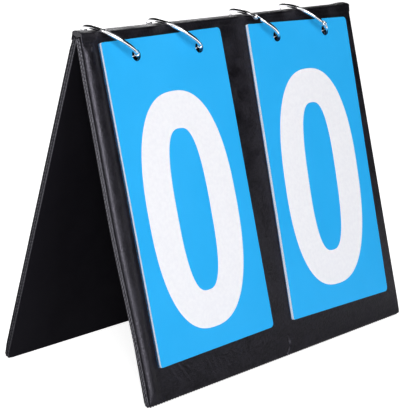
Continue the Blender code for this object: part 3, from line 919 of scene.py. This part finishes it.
def stage_sheet(name, points, faces, material):
    """A flat or curved sheet of the stage, which isn't part of the object."""
    mesh = bpy.data.meshes.new(name)
    mesh.from_pydata(points, [], faces)
    mesh.materials.append(material)
    sheet = bpy.data.objects.new(name, mesh)
    bpy.context.scene.collection.objects.link(sheet)
    return sheet


def level_square(reach, height):
    """The corners of a level square round the origin, and its one face."""
    corners = [(x * reach, y * reach, height) for x, y in ((-1, -1), (1, -1), (1, 1), (-1, 1))]
    return corners, [(0, 1, 2, 3)]


def make_floor():
    """A wide pale floor: it keeps the object's soft shadow, and meets the white behind it unseen."""
    material = bpy.data.materials.new("pale_floor_paper")
    material.use_nodes = True
    nodes, links = material.node_tree.nodes, material.node_tree.links
    nodes.clear()
    output = nodes.new("ShaderNodeOutputMaterial")
    paper = nodes.new("ShaderNodeBsdfDiffuse")
    paper.inputs["Color"].default_value = FLOOR_COLOUR
    glow = nodes.new("ShaderNodeEmission")
    level = nodes.new("ShaderNodeMath")
    level.operation = "MULTIPLY"
    level.inputs[1].default_value = FLOOR_GLOW
    links.new(plain_sight(nodes, links, "Is Glossy Ray"), level.inputs[0])
    links.new(level.outputs[0], glow.inputs["Strength"])
    both = nodes.new("ShaderNodeAddShader")
    links.new(paper.outputs[0], both.inputs[0])
    links.new(glow.outputs[0], both.inputs[1])
    links.new(both.outputs[0], output.inputs["Surface"])
    floor = stage_sheet("studio_floor", *level_square(FLOOR_REACH, 0), material)
    floor.location.z = CAD_BOX[0].z - FLOOR_GAP


def softbox(name, place, size, power, unseen):
    """A rectangular area light that looks at the object, hidden from one kind of ray if asked."""
    light = bpy.data.lights.new(name, "AREA")
    light.shape = "RECTANGLE"
    light.size, light.size_y = size
    light.energy = power
    lamp = bpy.data.objects.new(name, light)
    bpy.context.scene.collection.objects.link(lamp)
    lamp.location = place
    lamp.rotation_mode = "QUATERNION"
    lamp.rotation_quaternion = (Vector(AIM) - Vector(place)).to_track_quat("-Z", "Y")
    lamp.visible_glossy = unseen != "glossy"
    lamp.visible_diffuse = unseen != "diffuse"


def reflected_only(name, points, faces, shade):
    """A dark sheet of the stage that only reflections see."""
    material = bpy.data.materials.new(name)
    material.use_nodes = True
    shader = material.node_tree.nodes["Principled BSDF"]
    shader.inputs["Base Color"].default_value = (0, 0, 0, 1)
    shader.inputs["Emission Color"].default_value = (1, 1, 1, 1)
    shader.inputs["Emission Strength"].default_value = shade
    shader.inputs["Specular IOR Level"].default_value = 0
    sheet = stage_sheet(name, points, faces, material)
    sheet.visible_camera = False
    sheet.visible_diffuse = False
    sheet.visible_shadow = False
    sheet.visible_transmission = False


def dark_wall(name, radius, bearings, rises):
    """A patch of a sphere round the object, between two bearings and two angles above the level."""
    turn = np.radians(np.linspace(*bearings, 25))[:, None]
    rise = np.radians(np.linspace(*rises, 13))[None, :]
    level_x, level_y = np.cos(rise) * np.cos(turn), np.cos(rise) * np.sin(turn)
    ways = np.stack([level_x, level_y, np.sin(rise) + 0 * turn], axis=-1)
    points = AIM + radius * ways
    reflected_only(name, points.reshape(-1, 3).tolist(), quads(*points.shape[:2]), WALL_SHADE)


def make_camera():
    """The photograph's view: its place, its bearing and tilt, and a slight roll."""
    flat = cos(CAMERA_TILT)
    ahead = Vector((sin(CAMERA_BEARING) * flat, cos(CAMERA_BEARING) * flat, -sin(CAMERA_TILT)))
    level_right = Vector((cos(CAMERA_BEARING), -sin(CAMERA_BEARING), 0))
    level_up = level_right.cross(ahead)
    right = cos(CAMERA_ROLL) * level_right + sin(CAMERA_ROLL) * level_up
    up = -sin(CAMERA_ROLL) * level_right + cos(CAMERA_ROLL) * level_up
    data = bpy.data.cameras.new("photo_camera")
    data.sensor_width = 36
    data.lens = CAMERA_LENS
    data.clip_start = 0.01
    data.clip_end = 30
    camera = bpy.data.objects.new("photo_camera", data)
    bpy.context.scene.collection.objects.link(camera)
    turned = Matrix((right, up, -ahead)).transposed().to_4x4()
    camera.matrix_world = Matrix.Translation(CAMERA_PLACE) @ turned
    bpy.context.scene.camera = camera


make_world()
make_floor()
for lamp in SOFTBOXES:
    softbox(*lamp)
for wall in DARK_WALLS:
    dark_wall(*wall)
# The floor's own shade close to the object, as its gloss sees it
reflected_only("contact_shade", *level_square(CONTACT_REACH, CAD_BOX[0].z - FLOOR_GAP / 2), CONTACT_SHADE)
make_camera()
bpy.context.scene.view_settings.view_transform = "Standard"
